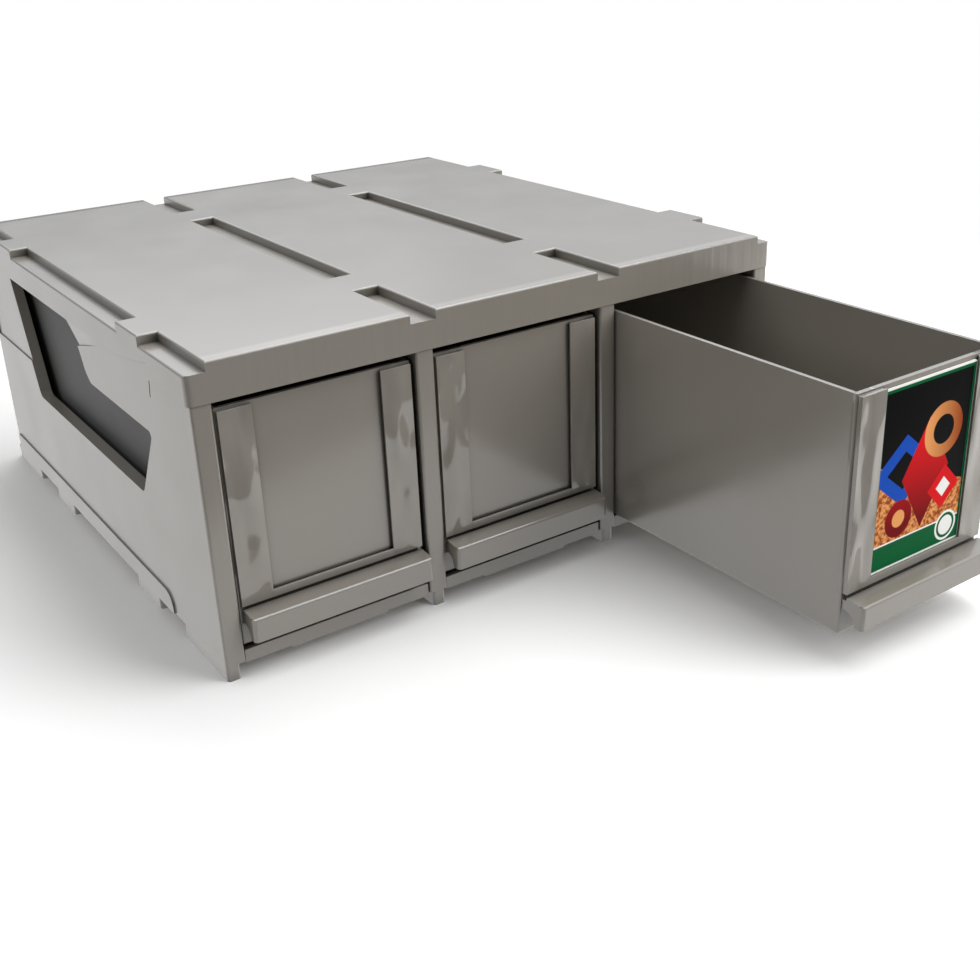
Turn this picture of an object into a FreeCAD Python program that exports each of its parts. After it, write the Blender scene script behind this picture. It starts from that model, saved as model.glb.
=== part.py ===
import FreeCAD, Part
import math
import os

# Trading card drawer box: a moulded case of loose panels that clip together, with three pull-out drawers
# side by side. Millimetres. X runs along the row of drawers, Y from the front to the back, Z up. The parts
# are drawn with Y = 0 on the front of the posts and Z = 0 under the feet, and moved once, at the end, so that
# the origin lies on the floor under the middle of the case.

# Case
bay_names = ("left", "middle", "right")
bay_pitch = 106.5            # from one drawer's middle to the next
case_depth = 329.4           # front of the posts to the back corners
wall = 2.4                   # moulded thickness of panels, plates and posts
post_width = 9.4
post_depth = 10.0
post_leg = 1.6               # thin legs that close the sides of a post
post_round = 1.2
back_corner = 7.5
seat_gap = 0.3               # between pieces that butt or slide
bite = 1.2                   # overlap of shapes that are fused into one piece
ledge_reach = 3.0            # from the post's side to the edge of the ledge under the floor panels
ledge_front = 6.0

# Feet, which lock into the grooves of the box below
foot_height = 7.6
foot_width = 6.3
foot_round = 1.5
lock_spacing = 199.0         # front gap's middle to back gap's middle
lock_gap = 32.0              # gap in the foot rails
inner_foot = 32.0            # foot rail between the lock gap and the open middle

# Guide ribs inside the bays
guide_levels = (30.0, 55.0, 110.0)
guide_thick = 1.6

# Cover
cover_side = 1.05            # overhang beyond the side panels
cover_front = 0.6            # overhang beyond the posts
cover_back = 1.6
cover_corner = 3.0
skirt = 2.2                  # thickness of the skirt
skirt_height = 13.6
skirt_gap = 0.4              # between the skirt and the panels inside it
drawer_headroom = 4.4        # from a drawer's rim to the bottom of the skirt
panel_rise = 4.5             # raised panels above the grooves
groove_width = 13.4
side_shelf = 9.4
bridge_length = 27.0
panel_round = 1.1
shelf_round = 1.3
rib_thick = 1.5              # ribs under the cover that hold the dividers upright
rib_depth = 4.0
rib_gap = 0.25

# Latch: a tongue of each side panel that rises into a notch in the skirt
latch_front = 43.5
latch_length = 97.5
latch_rise = 8.1
latch_dip_from_front = 36.5  # the curved top passes this point
latch_dip_rise = 1.9
latch_gap = 0.4
slit_width = 0.9
slit_depth = 9.0
slit_lean = 3.5
thumb_depth = 1.6            # thumb recess between the latch and the window
thumb_corners = ((71.5, -3.1), (92.5, 1.0), (124.5, 1.0), (116.5, -14.3))

# Side window, measured from the case's front, back and floor
window_front = 53.2
window_back_margin = 59.5
window_bottom = 65.0
window_front_lean = 25.5
window_back_lean = 26.0
hood_bottom = 103.0          # lower edge of the solid part behind the latch
hood_length = 84.2
hood_steps = ((6.2, 4.7), (5.6, 11.0))
hood_lean = 19.2
window_corner = 5.0
hood_corner = 2.5
flange_thick = 2.0
flange_depth = 3.8
band_proud = 0.8             # low band along the foot of the side panel
band_height = 10.4
band_front = 60.0
band_back_margin = 9.4
band_round = 8.0
shoulder_level = 84.5        # behind the window the panel steps in above this level
shoulder_depth = 0.7

# Floor panels
floor_front = 1.5
lip_height = 6.5
boss_width = 50.0
runner_offset = 35.0
runner_width = 3.0
runner_rise = 0.8

# Drawers
drawer_side_gap = 1.05
drawer_setback = 3.9         # drawer front behind the posts' front
drawer_depth = 316.0
drawer_height = 113.3
drawer_wall = 2.2
drawer_front_wall = 2.4
drawer_front_corner = 1.0
drawer_back_corner = 3.0
drawer_edge = 0.8
rest_openings = (0.0, 0.0, 156.0)

# Label frame on a drawer's front, with a slot open at the top
card_width = 63.5
card_height = 88.9
card_thick = 0.5
card_corner = 3.0
frame_proud = 2.2
frame_bottom = 20.1          # above the drawer's underside
frame_side_margin = 1.1
frame_top_margin = 1.0
lip_thick = 1.2
lip_cover = 1.1              # slot's depth behind each side lip
lip_rise = 1.4               # height of the bottom lip above the slot's floor
slot_floor = 2.2             # slot's floor above the bottom of the frame
slot_deep = 1.0
slot_play = 0.25             # at each side of the card
card_play = 0.1              # in front of the card

# Pull under the label frame
pull_margin = 1.3
pull_reach = 11.9            # in front of the drawer's front wall
pull_top = 18.7              # above the drawer's underside, at its back edge
pull_top_fall = 1.0
pull_front_height = 11.8
pull_lip = 4.6               # thickness of the lip that the fingers hook behind
pull_back_gap = 2.2
pull_groove = 1.4
pull_groove_draft = 0.2
pull_root_rise = 6.6
pull_hollow = (7.5, 5.6)     # the finger hollow passes this point: from the tip back, and up
pull_round = 1.4
pull_end_round = 2.0

# Heights and widths that follow
bay_count = len(bay_names)
opening_half = (bay_pitch - post_width) / 2
case_half = (bay_count * bay_pitch + post_width) / 2
ledge_top = foot_height + wall
floor_top = ledge_top + wall
drawer_bottom = floor_top + runner_rise + seat_gap
drawer_top = drawer_bottom + drawer_height
skirt_bottom = drawer_top + drawer_headroom
case_top = skirt_bottom - seat_gap
shelf_top = skirt_bottom + skirt_height
frame_height = shelf_top - wall
cover_top = shelf_top + panel_rise
cover_half = case_half + cover_side
cover_inner_half = cover_half - skirt
cover_inner_front = skirt - cover_front
cover_inner_back = case_depth + cover_back - skirt
panel_back = cover_inner_back - skirt_gap
panel_front = panel_back - wall
drawer_half = opening_half - drawer_side_gap
label_top = drawer_bottom + frame_bottom
slot_bottom = label_top + slot_floor
lip_top = slot_bottom + lip_rise
slot_half = card_width / 2 + slot_play
window_half = slot_half - lip_cover
frame_half = drawer_half - frame_side_margin


def bay_middle(bay):
    return (bay - (bay_count - 1) / 2) * bay_pitch


def box(x, y, z):
    corner = FreeCAD.Vector(x[0], y[0], z[0])
    return Part.makeBox(x[1] - x[0], y[1] - y[0], z[1] - z[0], corner)


def rounded_wire(corners, axis, level):
    """Closed wire across the axis through (u, v, radius) corners, u and v being the other two axes."""
    place = {"x": lambda u, v: FreeCAD.Vector(level, u, v),
             "y": lambda u, v: FreeCAD.Vector(u, level, v),
             "z": lambda u, v: FreeCAD.Vector(u, v, level)}[axis]
    points = [place(u, v) for u, v, radius in corners]
    edges = []
    ends = []
    for index, (u, v, radius) in enumerate(corners):
        point = points[index]
        before = (points[index - 1] - point).normalize()
        after = (points[(index + 1) % len(points)] - point).normalize()
        half = before.getAngle(after) / 2
        reach = radius / math.tan(half)
        start = point + before * reach
        end = point + after * reach
        ends.append((start, end))
        if radius > 0:
            bisector = (before + after).normalize()
            middle = point + bisector * (radius / math.sin(half) - radius)
            edges.append(Part.Arc(start, middle, end).toShape())
    for index, (start, end) in enumerate(ends):
        next_start = ends[(index + 1) % len(ends)][0]
        if end.distanceToPoint(next_start) > 1e-6:
            edges.append(Part.makeLine(end, next_start))
    return Part.Wire(Part.__sortEdges__(edges))


def extrude(wire, axis, length):
    direction = {"x": (length, 0, 0), "y": (0, length, 0), "z": (0, 0, length)}[axis]
    return Part.Face(wire).extrude(FreeCAD.Vector(*direction))


def prism(corners, axis, low, high):
    return extrude(rounded_wire(corners, axis, low), axis, high - low)


def rectangle(x, y, front_radius, back_radius):
    return ((x[0], y[0], front_radius), (x[1], y[0], front_radius),
            (x[1], y[1], back_radius), (x[0], y[1], back_radius))


def joined(shapes):
    return shapes[0].fuse(shapes[1:]).removeSplitter()


def soften(shape, radius, chosen):
    return shape.makeFillet(radius, [edge for edge in shape.Edges if chosen(edge)])


def mirrored(shape):
    return shape.mirror(FreeCAD.Vector(0, 0, 0), FreeCAD.Vector(1, 0, 0))


def lock_positions():
    middle = case_depth / 2
    return (middle - lock_spacing / 2, middle + lock_spacing / 2)


def cover_panel(bay, inset):
    """X range of one raised panel; the outer panels stop at the side shelves."""
    low = bay_middle(bay) - bay_pitch / 2 + groove_width / 2
    high = bay_middle(bay) + bay_pitch / 2 - groove_width / 2
    if bay == 0:
        low = side_shelf - cover_half
    if bay == bay_count - 1:
        high = cover_half - side_shelf
    return (low + inset, high - inset)


def cover_block(inset, drop):
    """Outer form of the cover, or with an inset and a drop the hollow under it."""
    y = (inset - cover_front, case_depth + cover_back - inset)
    x = (inset - cover_half, cover_half - inset)
    corner = cover_corner - inset
    z = (skirt_bottom - inset, shelf_top - drop)
    edge = max(shelf_round - inset, 0)
    slab = prism(rectangle(x, z, 0, edge), "y", y[0], y[1])
    parts = [slab.common(prism(rectangle(x, y, corner, corner), "z", z[0], z[1]))]
    raised = (frame_height - drop, cover_top - drop)
    for bay in range(bay_count):
        parts.append(box(cover_panel(bay, inset), y, raised))
    for middle in lock_positions():
        along = (middle - bridge_length / 2 + inset, middle + bridge_length / 2 - inset)
        parts.append(box(x, along, raised))
    return joined(parts)


def softened_cover():
    """Outer block with the edges of its raised panels and bridges rounded."""
    return soften(cover_block(0, 0), panel_round, lambda edge: edge.BoundBox.ZMin > cover_top - 0.01)


def latch_shape(gap, base, x):
    """Prism of the latch's outline: the notch itself, or with a gap the tongue that fills it."""
    front = latch_front + gap
    top = skirt_bottom + latch_rise - gap
    back = latch_front + latch_length
    dip = FreeCAD.Vector(x[0], latch_front + latch_dip_from_front, skirt_bottom + latch_dip_rise - gap)
    peak = FreeCAD.Vector(x[0], front, top)
    tail = FreeCAD.Vector(x[0], back, skirt_bottom - gap)
    low_tail = FreeCAD.Vector(x[0], back, base)
    low_front = FreeCAD.Vector(x[0], front, base)
    edges = [Part.makeLine(low_front, peak),
             Part.Arc(peak, dip, tail).toShape(),
             Part.makeLine(tail, low_tail),
             Part.makeLine(low_tail, low_front)]
    return extrude(Part.Wire(edges), "x", x[1] - x[0])


def thumb_recess(outer):
    """Cutter for the recess that slopes in from the latch, deepest at the last corner by the window."""
    corners = [FreeCAD.Vector(outer, latch_front + y, skirt_bottom + z) for y, z in thumb_corners]
    along = (corners[1] - corners[0]).normalize()
    across = FreeCAD.Vector(0, along.z, -along.y)
    slope = thumb_depth / across.dot(corners[3] - corners[0])
    near = [point - FreeCAD.Vector(wall, 0, 0) for point in corners]
    far = [point + FreeCAD.Vector(slope * across.dot(point - corners[0]), 0, 0) for point in corners]
    rings = [near, far]
    for index in range(len(corners)):
        rings.append([near[index - 1], near[index], far[index], far[index - 1]])
    faces = [Part.Face(Part.makePolygon(ring + ring[:1])) for ring in rings]
    return Part.makeSolid(Part.makeShell(faces))


def divider_middles():
    return [bay_middle(bay) + bay_pitch / 2 for bay in range(bay_count - 1)]


def top_cover():
    shell = softened_cover().cut(cover_block(skirt, wall))
    ribs = []
    for middle in divider_middles():
        for side in (-1, 1):
            near = middle + side * (wall / 2 + rib_gap)
            far = near + side * rib_thick
            ribs.append(box(sorted((near, far)), (ledge_front, panel_front - ledge_front),
                            (frame_height - rib_depth, frame_height)))
    notch = latch_shape(0, skirt_bottom - skirt, (-cover_half - skirt, skirt - cover_inner_half))
    return joined([shell] + ribs).cut([notch, mirrored(notch)])


def foot_rail(x):
    """Foot in four pieces with two gaps, which straddle the bridges of the cover below."""
    front_gap, back_gap = lock_positions()
    spans = ((0, front_gap - lock_gap / 2),
             (front_gap + lock_gap / 2, front_gap + lock_gap / 2 + inner_foot),
             (back_gap - lock_gap / 2 - inner_foot, back_gap - lock_gap / 2),
             (back_gap + lock_gap / 2, panel_back))
    return [prism(rectangle(x, span, foot_round, foot_round), "z", 0, foot_height) for span in spans]


def window_outline():
    """Corners of the side window; its top runs on behind the cover's skirt."""
    top = skirt_bottom + seat_gap
    back = case_depth - window_back_margin
    hood_back = window_front + hood_length
    first, second = hood_steps
    return ((window_front + window_front_lean, window_bottom, window_corner),
            (back - window_back_lean, window_bottom, window_corner),
            (back, top, 0),
            (hood_back + second[0] + first[0] + hood_lean, top, 0),
            (hood_back + first[0] + second[0], hood_bottom + first[1] + second[1], window_corner),
            (hood_back + first[0], hood_bottom + first[1], window_corner),
            (hood_back, hood_bottom, window_corner),
            (window_front, hood_bottom, hood_corner))


def side_profile():
    """Plan of the left side panel: skin, front post and back return in one C."""
    outer = -case_half
    skin = outer + wall
    inner = outer + post_width
    leg = inner - post_leg
    return ((outer, 0, post_round), (inner, 0, post_round), (inner, post_depth, 0), (leg, post_depth, 0),
            (leg, wall, 0), (skin, wall, 0), (skin, case_depth - wall, back_corner - wall),
            (leg, case_depth - wall, 0), (leg, case_depth - post_depth, 0),
            (inner, case_depth - post_depth, 0), (inner, case_depth, post_round),
            (outer, case_depth, back_corner))


def left_side_panel():
    outer = -case_half
    skin = outer + wall
    inner = outer + post_width
    rail = (seat_gap - cover_inner_half, seat_gap + wall - cover_inner_half)
    rail_y = (cover_inner_front + skirt_gap, panel_front)
    band = ((band_front, foot_height, 0), (case_depth - band_back_margin, foot_height, 0),
            (case_depth - band_back_margin, foot_height + band_height, post_round),
            (band_front, foot_height + band_height, band_round))
    solids = [prism(side_profile(), "z", foot_height, case_top),
              box(rail, rail_y, (case_top - wall, frame_height)),
              latch_shape(latch_gap, case_top - slit_depth, (outer, skin)),
              prism(band, "x", outer - band_proud, outer),
              box((skin, inner + ledge_reach), (ledge_front, panel_front), (foot_height, ledge_top))]
    for level in guide_levels[:2]:
        solids.append(box((skin, inner), (wall, case_depth - post_depth), (level, level + guide_thick)))
    solids += foot_rail((outer, outer + foot_width))
    window = Part.Face(rounded_wire(window_outline(), "x", skin))
    flange = window.makeOffset2D(flange_thick).extrude(FreeCAD.Vector(flange_depth, 0, 0))
    below_skirt = box((skin, skin + flange_depth), (0, case_depth), (0, case_top))
    solids.append(flange.common(below_skirt))
    opening = prism(window_outline(), "x", outer - wall, skin + flange_depth + wall)
    slit = prism(((latch_front + latch_gap, case_top + latch_rise, 0),
                  (latch_front + latch_gap + slit_width, case_top + latch_rise, 0),
                  (latch_front + latch_gap + slit_width + slit_lean, case_top - slit_depth, 0),
                  (latch_front + latch_gap + slit_lean, case_top - slit_depth, 0)),
                 "x", outer - wall, rail[1] + wall)
    shoulder = box((outer - wall, outer + shoulder_depth),
                   (case_depth - window_back_margin - window_back_lean, case_depth - band_back_margin),
                   (shoulder_level, case_top + wall))
    return joined(solids).cut([opening, slit, shoulder, thumb_recess(outer)])


def post(middle, front, back_facing):
    """Three-sided post round the end of a divider's wall."""
    half = post_width / 2
    across = (middle - half, middle + half)
    if back_facing:
        outline = rectangle(across, (front - post_depth, front), 0, post_round)
        hollow_y = (front - post_depth, front - wall)
    else:
        outline = rectangle(across, (front, front + post_depth), post_round, 0)
        hollow_y = (front + wall, front + post_depth)
    hollow = box((across[0] + post_leg, across[1] - post_leg), hollow_y, (foot_height, case_top))
    return prism(outline, "z", foot_height, case_top).cut(hollow)


def divider(middle):
    core = (middle - wall / 2, middle + wall / 2)
    across = (middle - post_width / 2, middle + post_width / 2)
    ledge = (across[0] - ledge_reach, across[1] + ledge_reach)
    solids = [post(middle, 0, False),
              post(middle, panel_front, True),
              box(core, (bite, panel_front), (foot_height, case_top)),
              box(core, (cover_inner_front + skirt_gap, panel_front), (case_top - wall, frame_height)),
              box(ledge, (ledge_front, panel_front), (foot_height, ledge_top))]
    for level in guide_levels:
        solids.append(box(across, (wall, panel_front - post_depth), (level, level + guide_thick)))
    solids += foot_rail((middle - foot_width / 2, middle + foot_width / 2))
    return joined(solids)


def floor_panel(bay):
    middle = bay_middle(bay)
    half = opening_half - seat_gap
    x = (middle - half, middle + half)
    boss_half = boss_width / 2
    boss_bottom = cover_top - shelf_top + seat_gap
    y = (floor_front, panel_front - seat_gap)
    solids = [box(x, y, (ledge_top, floor_top)),
              box(x, (floor_front, floor_front + wall), (floor_top - lip_height, floor_top)),
              box((middle - boss_half, middle + boss_half), (floor_front, floor_front + wall),
                  (boss_bottom, floor_top))]
    for side in (-1, 1):
        runner = middle + side * runner_offset
        solids.append(box((runner - runner_width / 2, runner + runner_width / 2),
                          (drawer_setback, y[1]), (floor_top, floor_top + runner_rise)))
    return joined(solids)


def back_panel():
    half = case_half - post_width - seat_gap
    return box((-half, half), (panel_front, panel_back), (foot_height, frame_height))


def pull(middle):
    """Hooked pull: a shelf with a groove behind it and a finger hollow under it."""
    root = drawer_setback
    groove_floor = drawer_bottom + pull_top - pull_groove
    back_top = drawer_bottom + pull_top
    tip = root - pull_reach
    front_top = back_top - pull_top_fall
    front_bottom = front_top - pull_front_height
    half = drawer_half - pull_margin
    points = [(root + bite, groove_floor), (root - pull_back_gap + pull_groove_draft, groove_floor),
              (root - pull_back_gap, back_top), (tip + pull_round, front_top), (tip, front_top - pull_round),
              (tip, front_bottom), (tip + pull_lip, front_bottom),
              (root, front_bottom + pull_root_rise), (root + bite, front_bottom + pull_root_rise)]
    x = middle - half
    at = [FreeCAD.Vector(x, y, z) for y, z in points]
    sagitta = pull_round * (1 - math.sqrt(0.5))
    crest = FreeCAD.Vector(x, tip + sagitta, front_top - sagitta)
    hollow = FreeCAD.Vector(x, tip + pull_hollow[0], front_bottom + pull_hollow[1])
    edges = [Part.makeLine(at[0], at[1]), Part.makeLine(at[1], at[2]), Part.makeLine(at[2], at[3]),
             Part.Arc(at[3], crest, at[4]).toShape(), Part.makeLine(at[4], at[5]),
             Part.makeLine(at[5], at[6]), Part.Arc(at[6], hollow, at[7]).toShape(),
             Part.makeLine(at[7], at[8]), Part.makeLine(at[8], at[0])]
    bar = extrude(Part.Wire(edges), "x", 2 * half)
    plan = rectangle((middle - half, middle + half), (tip, root + bite), pull_end_round, 0)
    return bar.common(prism(plan, "z", front_bottom - wall, back_top + wall))


def label_frame(middle):
    front = drawer_setback - frame_proud
    return box((middle - frame_half, middle + frame_half), (front, drawer_setback + bite),
               (label_top, drawer_top - frame_top_margin))


def label_cuts(middle):
    """Space between the lips, and the wider slot behind them, both open at the top."""
    front = drawer_setback - frame_proud
    slot_front = front + lip_thick
    slot_back = slot_front + slot_deep
    above = drawer_top + wall
    view = box((middle - window_half, middle + window_half), (front - wall, slot_back), (lip_top, above))
    slot = box((middle - slot_half, middle + slot_half), (slot_front, slot_back), (slot_bottom, above))
    return [view, slot]


def drawer(bay):
    middle = bay_middle(bay)
    x = (middle - drawer_half, middle + drawer_half)
    y = (drawer_setback, drawer_setback + drawer_depth)
    inner_x = (x[0] + drawer_wall, x[1] - drawer_wall)
    inner_y = (y[0] + drawer_front_wall, y[1] - drawer_wall)
    outer = prism(rectangle(x, y, drawer_front_corner, drawer_back_corner), "z", drawer_bottom, drawer_top)
    outer = soften(outer, drawer_edge, lambda edge: edge.BoundBox.ZMax < drawer_bottom + 0.01)
    hollow = prism(rectangle(inner_x, inner_y, drawer_edge, drawer_back_corner - drawer_wall), "z",
                   drawer_bottom + drawer_wall, drawer_top + wall)
    body = joined([outer, label_frame(middle), pull(middle)])
    body = body.cut([hollow] + label_cuts(middle))
    body.translate(FreeCAD.Vector(0, -rest_openings[bay], 0))
    return body


def label_card(bay):
    middle = bay_middle(bay)
    front = drawer_setback - frame_proud + lip_thick + card_play - rest_openings[bay]
    corners = ((middle - card_width / 2, slot_bottom, card_corner),
               (middle + card_width / 2, slot_bottom, card_corner),
               (middle + card_width / 2, slot_bottom + card_height, card_corner),
               (middle - card_width / 2, slot_bottom + card_height, card_corner))
    return prism(corners, "y", front, front + card_thick)


def all_parts():
    side = left_side_panel()
    parts = {"top_cover": top_cover(),
             "left_side_panel": side,
             "right_side_panel": mirrored(side),
             "back_panel": back_panel(),
             "label_card": label_card(bay_count - 1)}
    for name, middle in zip(("left_divider", "right_divider"), divider_middles()):
        parts[name] = divider(middle)
    for bay, name in enumerate(bay_names):
        parts[name + "_floor_panel"] = floor_panel(bay)
        parts[name + "_drawer"] = drawer(bay)
    return parts


os.makedirs("parts", exist_ok=True)
for name, shape in all_parts().items():
    shape.translate(FreeCAD.Vector(0, -case_depth / 2, 0))
    shape.exportStep("parts/" + name + ".step")
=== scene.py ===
import math

import bpy
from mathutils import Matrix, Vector

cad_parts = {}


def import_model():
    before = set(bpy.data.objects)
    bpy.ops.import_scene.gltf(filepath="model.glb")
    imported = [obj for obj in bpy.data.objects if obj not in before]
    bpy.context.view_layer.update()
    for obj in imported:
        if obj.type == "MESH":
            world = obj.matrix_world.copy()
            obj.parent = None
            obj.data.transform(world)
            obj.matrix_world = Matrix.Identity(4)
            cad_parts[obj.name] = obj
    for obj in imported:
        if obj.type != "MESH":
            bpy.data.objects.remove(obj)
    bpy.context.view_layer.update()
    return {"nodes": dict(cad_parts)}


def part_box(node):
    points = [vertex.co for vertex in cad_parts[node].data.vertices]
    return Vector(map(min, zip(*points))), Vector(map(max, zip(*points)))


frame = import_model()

# Trading card drawer box: the finish of its moulded plastic, the printed label card, and a plain studio.
# Metres throughout; X runs along the drawers, Y from front to back, Z up.

MM = 0.001
CASE_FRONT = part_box("left_side_panel")[0].y
CARD_LOW, CARD_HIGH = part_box("label_card")

# Camera, fitted to the photograph's 980 by 980 pixel frame
IMAGE_SIZE = 980
FOCAL_PIXELS = 1239.56
CENTRE_PIXEL = (514.04, 446.10)
EYE_FROM_CASE_FRONT = Vector((-323.87, -457.92, 309.11)) * MM
CAMERA_TURN = (66.8922, 1.7259, -35.5064)
SENSOR_WIDTH = 36.0

# Rounding of the moulded edges
CASE_EDGE = 0.35 * MM
DRAWER_EDGE = 0.2 * MM
CARD_EDGE = 0.08 * MM
WELD_GAP = 0.01 * MM
SHARP_ANGLE = math.radians(35)

# Noise in the moulding: its scale per metre, and its stretch along X, Y and Z, where under 1 draws it out
FLOW_SCALE = 6.0
FLOW_STRETCH = (1, 0.5, 1.3)
GLOSS_SCALE = 30.0
STREAK_SCALE = 190.0
STREAK_STRETCH = (1, 1, 0.06)
SINK_SCALE = 22.0
WAVE_SCALE = 75.0
WAVE_STRETCH = (1.1, 1, 0.45)
PEEL_SCALE = 900.0

# Range of the noise's values that is spread over colours and roughness
NOISE_LOW = 0.3
NOISE_HIGH = 0.7

# Relief as bump: heights are shares of RELIEF_DEPTH
RELIEF_DEPTH = 2 * MM
STREAK_HEIGHT = 0.12
SINK_HEIGHT = 0.045
CROWN_HEIGHT = 0.24
WALL_WAVE_HEIGHT = 0.02
RAIL_WAVE_HEIGHT = 2.2
PEEL_DEPTH = 0.01 * MM

# Gloss of the moulding, as roughness
CASE_ROUGHNESS = 0.24
WALL_ROUGHNESS = 0.19
RAIL_ROUGHNESS = 0.10
ROUGHNESS_RANGE = 0.03
DULL_WALL = 0.5

# How near another surface the painted shade of the case's seams, and of a drawer's corners, begins
SEAM_REACH = 8 * MM
CORNER_REACH = 12 * MM

# Share of a point's surroundings that is open: the painted shade is full up to the first, and gone from
# the second
SHADE_FULL = 0.2
SHADE_NONE = 0.9
SHADE_SAMPLES = 8

# Label frame's rails on a drawer, from its middle and from the floor, where the moulding is glossiest
RAIL_INNER = 30.9 * MM
RAIL_FOOT = 33.6 * MM
FRONT_DEPTH = 14 * MM

# Behind the case's front, a drawer's outer wall is painted with shade, passing from daylight into the
# shade of the case
DARK_START = 10 * MM
DARK_END = 45 * MM

# Width of the cover's fall towards its front and back edges
CROWN_WIDTH = 7 * MM

# Slack for telling the case's front, the cover's raised panels and a drawer's outer face by their place
FRONT_SLACK = 1 * MM
PANEL_SLACK = 2 * MM
WALL_SLACK = 0.5 * MM

# Label card's print and varnish
PRINT_BLUR = 0.12 * MM
GRAIN_SCALE = 520.0
WARP_SCALE = 60.0
WARP_DEPTH = 0.05 * MM
VARNISH_ROUGHNESS = (0.30, 0.38)
VARNISH_IOR = 1.15
VARNISH_SPECULAR = 0.25

# Table: it keeps the object's shadow up to the first distance, and is plain white from the second
TABLE_SIZE = 12
TABLE_ROUGHNESS = 0.9
SHADOW_KEPT = 0.38
SHADOW_GONE = 0.8

# The table's front edge, seen in the plastic's gloss: it runs through x = 0 here, and slants this much
TABLE_EDGE = -0.363
TABLE_SLANT = 0.35
TABLE_EDGE_BLUR = 0.006
GLOSS_OFF_TABLE = 0.05
GLOSS_ON_TABLE = 1.35
GLOSS_SHARE = 0.85

# Studio's light, by the sine of the angle above the horizon
FILL_AT_HORIZON = 0.04
FILL_OVERHEAD = 0.42
SKY_START = 0.14
SKY_END = 0.42

# A Mix node's share and two colours, and its mixed colour, among its sockets for every kind of data
MIX_INPUTS = (0, 6, 7)
MIX_OUTPUT = 2


def srgb(red, green, blue):
    """Colour written as 0 to 255 display values, as the linear values that Blender's sockets take."""
    def linear(value):
        value /= 255
        return value / 12.92 if value <= 0.04045 else ((value + 0.055) / 1.055) ** 2.4
    return (linear(red), linear(green), linear(blue), 1.0)


def grey(level):
    return (level, level, level, 1.0)


PLASTIC = srgb(134, 128, 119)
PALE_PLASTIC = srgb(138, 133, 125)
SEAM_SHADE = srgb(46, 43, 39)
WALL_SHADE = srgb(44, 42, 39)
TABLE_AS_LIGHT = grey(0.45)
TABLE_AS_SEEN = grey(0.95)
HORIZON_GLOSS = (0.20, 0.23, 0.28, 1)
SKY_GLOSS = (1.45, 1.56, 1.68, 1)
WHITE = grey(1.0)


class Tree:
    """Short forms for building a node tree."""

    def __init__(self, owner):
        owner.use_nodes = True
        self.nodes = owner.node_tree.nodes
        self.links = owner.node_tree.links

    def add(self, kind, **settings):
        node = self.nodes.new(kind)
        for key, value in settings.items():
            setattr(node, key, value)
        return node

    def put(self, socket, value):
        """Links a socket's value, or sets a constant."""
        if isinstance(value, bpy.types.NodeSocket):
            self.links.new(value, socket)
        else:
            socket.default_value = value

    def math(self, operation, first, second=0.0, third=0.0):
        node = self.add("ShaderNodeMath", operation=operation)
        for socket, value in zip(node.inputs, (first, second, third)):
            self.put(socket, value)
        return node.outputs[0]

    def split(self, vector):
        node = self.add("ShaderNodeSeparateXYZ")
        self.links.new(vector, node.inputs[0])
        return node.outputs

    def spread(self, value, low, high, to_low=0.0, to_high=1.0, smooth=False):
        """Maps low to high onto to_low to to_high, and holds the ends beyond them."""
        node = self.add("ShaderNodeMapRange", interpolation_type="SMOOTHSTEP" if smooth else "LINEAR")
        for socket, number in zip(node.inputs, (value, low, high, to_low, to_high)):
            self.put(socket, number)
        return node.outputs["Result"]

    def blend(self, share, first, second):
        """Colour from first, at share 0, to second, at share 1."""
        node = self.add("ShaderNodeMix", data_type="RGBA")
        for index, value in zip(MIX_INPUTS, (share, first, second)):
            self.put(node.inputs[index], value)
        return node.outputs[MIX_OUTPUT]

    def distance(self, first, second):
        squares = self.math("ADD", self.math("POWER", first, 2.0), self.math("POWER", second, 2.0))
        return self.math("SQRT", squares)


class Surface(Tree):
    """A material's tree, with its shader, and noise and bump in the object's own metres."""

    def __init__(self, name):
        self.material = bpy.data.materials.new(name)
        super().__init__(self.material)
        self.shader = self.nodes["Principled BSDF"].inputs
        self.place = self.add("ShaderNodeTexCoord").outputs["Object"]
        self.x, self.y, self.z = self.split(self.place)

    def noise(self, scale, detail=2.0, stretch=(1, 1, 1)):
        mapping = self.add("ShaderNodeMapping")
        mapping.inputs["Scale"].default_value = stretch
        self.links.new(self.place, mapping.inputs["Vector"])
        node = self.add("ShaderNodeTexNoise")
        self.links.new(mapping.outputs[0], node.inputs["Vector"])
        node.inputs["Scale"].default_value = scale
        node.inputs["Detail"].default_value = detail
        return node.outputs["Fac"]

    def shelter(self, reach, alone):
        """Falls from 1 to 0 in seams, corners and slots, where a surface is within reach. alone leaves out
        the other nodes' surfaces, for a piece that slides past them."""
        node = self.add("ShaderNodeAmbientOcclusion", samples=SHADE_SAMPLES, only_local=alone)
        node.inputs["Distance"].default_value = reach
        return node.outputs["AO"]

    def bump(self, height, distance, below=None):
        node = self.add("ShaderNodeBump")
        node.inputs["Strength"].default_value = 1.0
        node.inputs["Distance"].default_value = distance
        self.links.new(height, node.inputs["Height"])
        if below is not None:
            self.links.new(below, node.inputs["Normal"])
        return node.outputs["Normal"]


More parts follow.
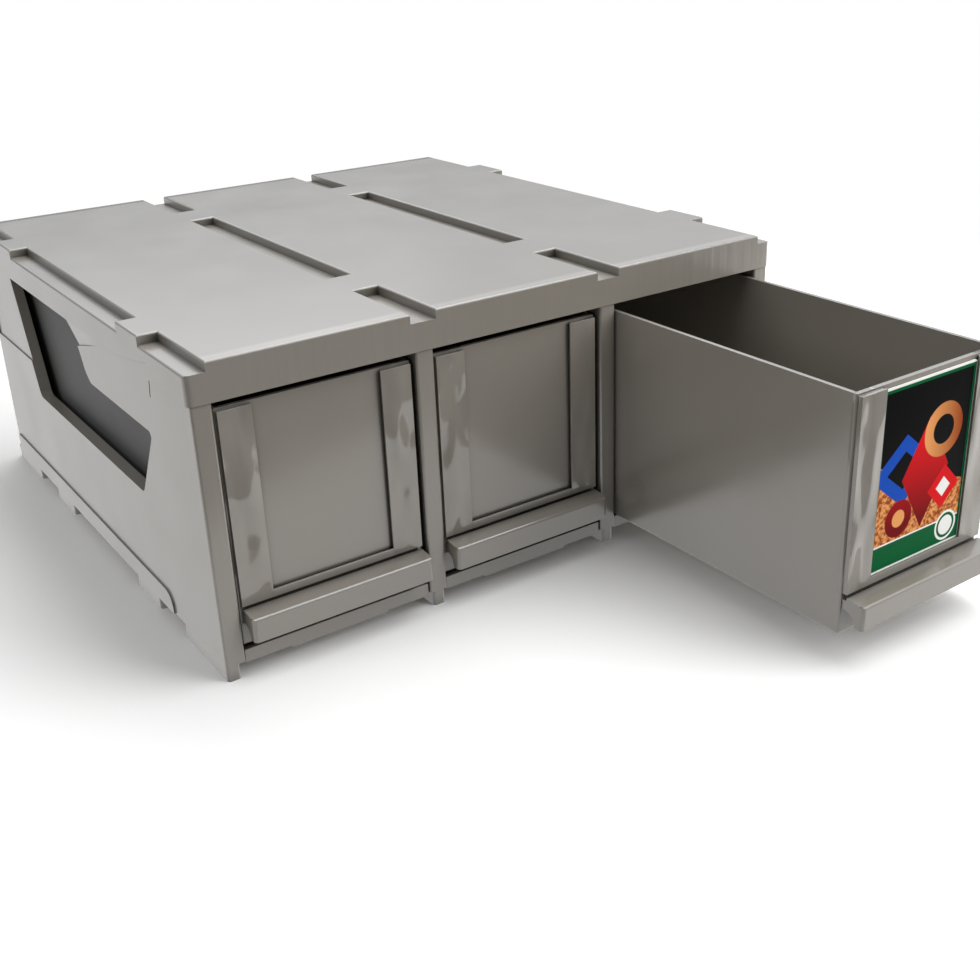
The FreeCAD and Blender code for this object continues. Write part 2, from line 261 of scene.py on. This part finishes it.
class Plastic(Surface):
    """Glossy grey moulding: faint flow mottling, uneven gloss, painted shade in corners, relief and orange
    peel.
    """

    def __init__(self, name):
        super().__init__(name)
        flow = self.noise(FLOW_SCALE, stretch=FLOW_STRETCH)
        flow = self.spread(flow, NOISE_LOW, NOISE_HIGH)
        self.colour = self.blend(flow, PLASTIC, PALE_PLASTIC)
        uneven = self.noise(GLOSS_SCALE, detail=4.0)
        self.uneven = self.spread(uneven, NOISE_LOW, NOISE_HIGH, -ROUGHNESS_RANGE, ROUGHNESS_RANGE)

    def finish(self, colour, open_air, rough, relief):
        exposed = self.spread(open_air, SHADE_FULL, SHADE_NONE)
        # Painted shade: the colour darkens to SEAM_SHADE in seams, corners and slots, where little around
        # is open
        self.put(self.shader["Base Color"], self.blend(exposed, SEAM_SHADE, colour))
        self.put(self.shader["Roughness"], rough)
        waves = self.bump(relief, RELIEF_DEPTH)
        peel = self.bump(self.noise(PEEL_SCALE, detail=1.0), PEEL_DEPTH, below=waves)
        self.put(self.shader["Normal"], peel)
        self.shader["Specular IOR Level"].default_value = 1.0
        return self.material


def case_plastic(name, crowned=False):
    """Plastic of the fixed pieces, with sink waves, and streaks down the faces at the case's front.

    A crowned cover falls away a little towards its front and back edges."""
    tree = Plastic(name)
    at_front = tree.math("LESS_THAN", tree.y, CASE_FRONT + FRONT_SLACK)
    streaks = tree.noise(STREAK_SCALE, detail=1.0, stretch=STREAK_STRETCH)
    streaks = tree.math("MULTIPLY", streaks, at_front)
    sink = tree.math("MULTIPLY", tree.noise(SINK_SCALE, detail=0.0), SINK_HEIGHT)
    relief = tree.math("MULTIPLY_ADD", streaks, STREAK_HEIGHT, sink)
    if crowned:
        low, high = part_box("top_cover")
        from_front = tree.math("SUBTRACT", tree.y, low.y)
        from_back = tree.math("SUBTRACT", high.y, tree.y)
        edge = tree.math("MINIMUM", from_front, from_back)
        on_top = tree.math("GREATER_THAN", tree.z, high.z - PANEL_SLACK)
        crown = tree.spread(edge, 0.0, CROWN_WIDTH, 0.0, CROWN_HEIGHT, smooth=True)
        relief = tree.math("ADD", relief, tree.math("MULTIPLY", crown, on_top))
    rough = tree.math("ADD", tree.uneven, CASE_ROUGHNESS)
    return tree.finish(tree.colour, tree.shelter(SEAM_REACH, alone=False), rough, relief)


def drawer_plastic(name, outward):
    """Plastic of a drawer, whose label frame has polished rails that ripple more.

    outward is -1 or 1 for a drawer whose left or right wall shows through a window, and 0 for the middle
    one. That wall is duller, and painted darker with shade, as far as it is inside the case."""
    tree = Plastic(name)
    low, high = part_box(name)
    from_middle = tree.math("SUBTRACT", tree.x, (low.x + high.x) / 2)

    at_side = tree.math("GREATER_THAN", tree.math("ABSOLUTE", from_middle), RAIL_INNER)
    above_foot = tree.math("GREATER_THAN", tree.z, RAIL_FOOT)
    at_front = tree.math("LESS_THAN", tree.y, low.y + FRONT_DEPTH)
    rail = tree.math("MULTIPLY", tree.math("MULTIPLY", at_side, above_foot), at_front)
    waves = tree.noise(WAVE_SCALE, detail=0.5, stretch=WAVE_STRETCH)
    wave_height = tree.spread(rail, 0.0, 1.0, WALL_WAVE_HEIGHT, RAIL_WAVE_HEIGHT)
    relief = tree.math("MULTIPLY", waves, wave_height)
    rough = tree.math("ADD", tree.uneven, tree.spread(rail, 0.0, 1.0, WALL_ROUGHNESS, RAIL_ROUGHNESS))

    world_place = tree.split(tree.add("ShaderNodeNewGeometry").outputs["Position"])
    # Painted shade: the outer wall's colour darkens to WALL_SHADE where it is inside the case
    in_case = tree.spread(world_place[1], CASE_FRONT + DARK_START, CASE_FRONT + DARK_END, smooth=True)
    to_side = tree.math("MULTIPLY", from_middle, outward)
    outer_wall = tree.math("GREATER_THAN", to_side, (high.x - low.x) / 2 - WALL_SLACK)
    painted_shade = tree.math("MULTIPLY", in_case, outer_wall)
    colour = tree.blend(painted_shade, tree.colour, WALL_SHADE)
    rough = tree.math("MULTIPLY_ADD", painted_shade, DULL_WALL, rough)
    return tree.finish(colour, tree.shelter(CORNER_REACH, alone=True), rough, relief)


def printed_card():
    """Label card: white edge, green border, and a plain print of geometric shapes under a gloss varnish.

    The shapes' places and sizes are in millimetres from the card's middle."""
    tree = Surface("printed_card")
    middle = (CARD_LOW + CARD_HIGH) / 2
    half = (CARD_HIGH - CARD_LOW) / 2
    across = tree.math("SUBTRACT", tree.x, middle.x)
    up = tree.math("SUBTRACT", tree.z, middle.z)

    def inside(distance, limit):
        return tree.spread(distance, limit - PRINT_BLUR, limit + PRINT_BLUR, 1.0, 0.0)

    def offset(at_x, at_z):
        return tree.math("SUBTRACT", across, at_x * MM), tree.math("SUBTRACT", up, at_z * MM)

    def within_border(side, foot):
        """Inside of a border that is wider at the card's foot."""
        to_side = tree.math("SUBTRACT", tree.math("ABSOLUTE", across), half.x - side * MM)
        above = tree.math("SUBTRACT", up, half.z - side * MM)
        below = tree.math("SUBTRACT", tree.math("MULTIPLY", up, -1.0), half.z - foot * MM)
        return inside(tree.math("MAXIMUM", to_side, tree.math("MAXIMUM", above, below)), 0.0)

    def diamond(at_x, at_z, size, slim=1.0):
        dx, dz = offset(at_x, at_z)
        wide = tree.math("MULTIPLY", tree.math("ABSOLUTE", dx), slim)
        return inside(tree.math("ADD", wide, tree.math("ABSOLUTE", dz)), size * MM)

    def disc(at_x, at_z, radius):
        return inside(tree.distance(*offset(at_x, at_z)), radius * MM)

    def below(level, tilt=0.0):
        line = tree.math("MULTIPLY_ADD", across, tilt, up)
        return inside(line, level * MM)

    white = srgb(240, 240, 236)
    green = srgb(6, 92, 50)
    black = srgb(6, 6, 7)
    earth = srgb(150, 68, 26)
    sand = srgb(232, 160, 96)
    red = srgb(216, 24, 30)
    deep_red = srgb(112, 8, 14)
    blue = srgb(26, 78, 180)
    grain = tree.noise(GRAIN_SCALE, detail=3.0)
    ground = tree.blend(tree.spread(grain, 0.40, 0.60), earth, sand)
    fading_red = tree.blend(tree.spread(up, -24 * MM, 14 * MM), deep_red, red)
    lit_sand = tree.blend(tree.spread(across, 0.0, 24 * MM), sand, earth)

    def paint(colour, layers):
        """Lays shapes over a colour, from the lowest to the topmost."""
        for shape, paint_colour in layers:
            colour = tree.blend(shape, colour, paint_colour)
        return colour

    picture = paint(black, (
        (below(-2, 0.35), ground),
        (diamond(-13, 3, 17, 0.8), blue),
        (diamond(-13, 3, 9, 0.8), black),
        (diamond(2, -2, 27, 1.7), fading_red),
        (disc(12, 16, 13), lit_sand),
        (disc(12, 16, 7), black),
        (diamond(16, -13, 11), red),
        (diamond(16, -13, 5), white),
        (disc(-14, -20, 9), fading_red),
        (disc(-14, -20, 4.2), sand),
        (below(-30.0), white),
        (below(-30.8), green),
    ))
    bordered = tree.blend(within_border(2.6, 3.4), green, picture)
    card = tree.blend(within_border(1.1, 2.2), white, bordered)
    card = paint(card, (
        (disc(21, -34, 7.5), white),
        (disc(21, -34, 6.3), green),
        (disc(21, -34, 4.9), white),
    ))
    tree.put(tree.shader["Base Color"], card)
    tree.put(tree.shader["Roughness"], tree.spread(grain, NOISE_LOW, NOISE_HIGH, *VARNISH_ROUGHNESS))
    tree.put(tree.shader["Normal"], tree.bump(tree.noise(WARP_SCALE), WARP_DEPTH))
    tree.shader["IOR"].default_value = VARNISH_IOR
    tree.shader["Specular IOR Level"].default_value = VARNISH_SPECULAR
    return tree.material


def dress(name, material, edge=CASE_EDGE, clamp=True):
    """Gives a CAD node its material, and rounds its moulded edges by a hair.

    clamp narrows the rounding to what the piece's shortest edges allow, which is next to nothing on the
    cover, the side panels and the dividers. The drawers go without it and keep their full rounding."""
    node = frame["nodes"][name]
    node.data.materials.clear()
    node.data.materials.append(material)
    node.data.shade_smooth()
    weld = node.modifiers.new("weld", "WELD")
    weld.merge_threshold = WELD_GAP
    bevel = node.modifiers.new("edge", "BEVEL")
    bevel.width = edge
    bevel.segments = 2
    bevel.limit_method = "ANGLE"
    bevel.angle_limit = SHARP_ANGLE
    bevel.use_clamp_overlap = clamp
    node.modifiers.new("normals", "WEIGHTED_NORMAL").keep_sharp = False


def dress_all():
    case = case_plastic("case_plastic")
    outward = {"left_drawer": -1, "middle_drawer": 0, "right_drawer": 1}
    for name in frame["nodes"]:
        if name == "label_card":
            dress(name, printed_card(), edge=CARD_EDGE)
        elif name == "top_cover":
            dress(name, case_plastic("cover_plastic", crowned=True))
        elif name in outward:
            dress(name, drawer_plastic(name, outward[name]), edge=DRAWER_EDGE, clamp=False)
        else:
            dress(name, case)


def camera():
    data = bpy.data.cameras.new("camera")
    data.sensor_width = SENSOR_WIDTH
    data.lens = FOCAL_PIXELS / IMAGE_SIZE * SENSOR_WIDTH
    data.shift_x = (IMAGE_SIZE / 2 - CENTRE_PIXEL[0]) / IMAGE_SIZE
    data.shift_y = (CENTRE_PIXEL[1] - IMAGE_SIZE / 2) / IMAGE_SIZE
    data.clip_start = 0.01
    data.clip_end = 50
    item = bpy.data.objects.new("camera", data)
    item.location = EYE_FROM_CASE_FRONT + Vector((0, CASE_FRONT, 0))
    item.rotation_euler = [math.radians(angle) for angle in CAMERA_TURN]
    bpy.context.scene.collection.objects.link(item)
    bpy.context.scene.camera = item


def lamp(name, place, target, size, power, mirrored=True):
    """Soft box; one that isn't mirrored lights the plastic but leaves no glare in its gloss."""
    data = bpy.data.lights.new(name, "AREA")
    data.shape = "RECTANGLE"
    data.size, data.size_y = size
    data.energy = power
    item = bpy.data.objects.new(name, data)
    item.location = place
    item.visible_glossy = mirrored
    item.rotation_euler = (Vector(target) - Vector(place)).to_track_quat("-Z", "Y").to_euler()
    bpy.context.scene.collection.objects.link(item)


def floor():
    """White table that keeps the object's shadow near it and fades to a white ground further off.

    In the plastic's gloss it is evenly bright, and ends at the table's front edge."""
    bpy.ops.mesh.primitive_plane_add(size=TABLE_SIZE)
    plane = bpy.context.object
    plane.name = "floor"
    tree = Surface("floor")
    rays = tree.add("ShaderNodeLightPath").outputs
    to_camera = rays["Is Camera Ray"]
    in_gloss = rays["Is Glossy Ray"]

    tree.put(tree.shader["Base Color"], tree.blend(to_camera, TABLE_AS_LIGHT, TABLE_AS_SEEN))
    tree.shader["Roughness"].default_value = TABLE_ROUGHNESS
    tree.shader["Specular IOR Level"].default_value = 0.0

    from_edge = tree.math("MULTIPLY_ADD", tree.x, TABLE_SLANT, tree.y)
    table = tree.spread(from_edge, TABLE_EDGE - TABLE_EDGE_BLUR, TABLE_EDGE + TABLE_EDGE_BLUR,
                        GLOSS_OFF_TABLE, GLOSS_ON_TABLE, smooth=True)
    even = tree.add("ShaderNodeEmission")
    tree.put(even.inputs["Color"], tree.blend(in_gloss, WHITE, table))

    far = tree.spread(tree.distance(tree.x, tree.y), SHADOW_KEPT, SHADOW_GONE, smooth=True)
    even_share = tree.math("MULTIPLY_ADD", in_gloss, GLOSS_SHARE, tree.math("MULTIPLY", far, to_camera))
    mix = tree.add("ShaderNodeMixShader")
    tree.put(mix.inputs[0], even_share)
    tree.put(mix.inputs[1], tree.nodes["Principled BSDF"].outputs[0])
    tree.put(mix.inputs[2], even.outputs[0])
    tree.put(tree.nodes["Material Output"].inputs["Surface"], mix.outputs[0])
    plane.data.materials.append(tree.material)


def world():
    """White to the camera; in the gloss and in the fill, dim at the horizon and brighter overhead."""
    studio = bpy.data.worlds.new("studio")
    bpy.context.scene.world = studio
    tree = Tree(studio)
    rays = tree.add("ShaderNodeLightPath").outputs
    height = tree.split(tree.add("ShaderNodeTexCoord").outputs["Generated"])[2]
    fill = tree.spread(height, 0.0, 1.0, FILL_AT_HORIZON, FILL_OVERHEAD)
    gloss = tree.blend(tree.spread(height, SKY_START, SKY_END), HORIZON_GLOSS, SKY_GLOSS)
    light = tree.blend(rays["Is Glossy Ray"], fill, gloss)
    background = tree.nodes["Background"].inputs
    tree.put(background["Color"], tree.blend(rays["Is Camera Ray"], light, WHITE))
    background["Strength"].default_value = 1.0


dress_all()
camera()
floor()
world()
lamp("overhead", place=(0.6, -0.02, 1.5), target=(0.35, -0.05, 0), size=(2.6, 1.1), power=30)
lamp("front_right", place=(0.95, -1.05, 0.6), target=(0.1, -0.25, 0.07), size=(1.2, 0.9), power=14,
     mirrored=False)
lamp("left", place=(-1.4, -0.05, 0.9), target=(0, -0.05, 0.07), size=(0.9, 0.9), power=6.5)
lamp("back", place=(0.45, 1.5, 0.98), target=(0, 0, 0.15), size=(0.9, 0.5), power=1.4)

bpy.context.scene.view_settings.view_transform = "Standard"
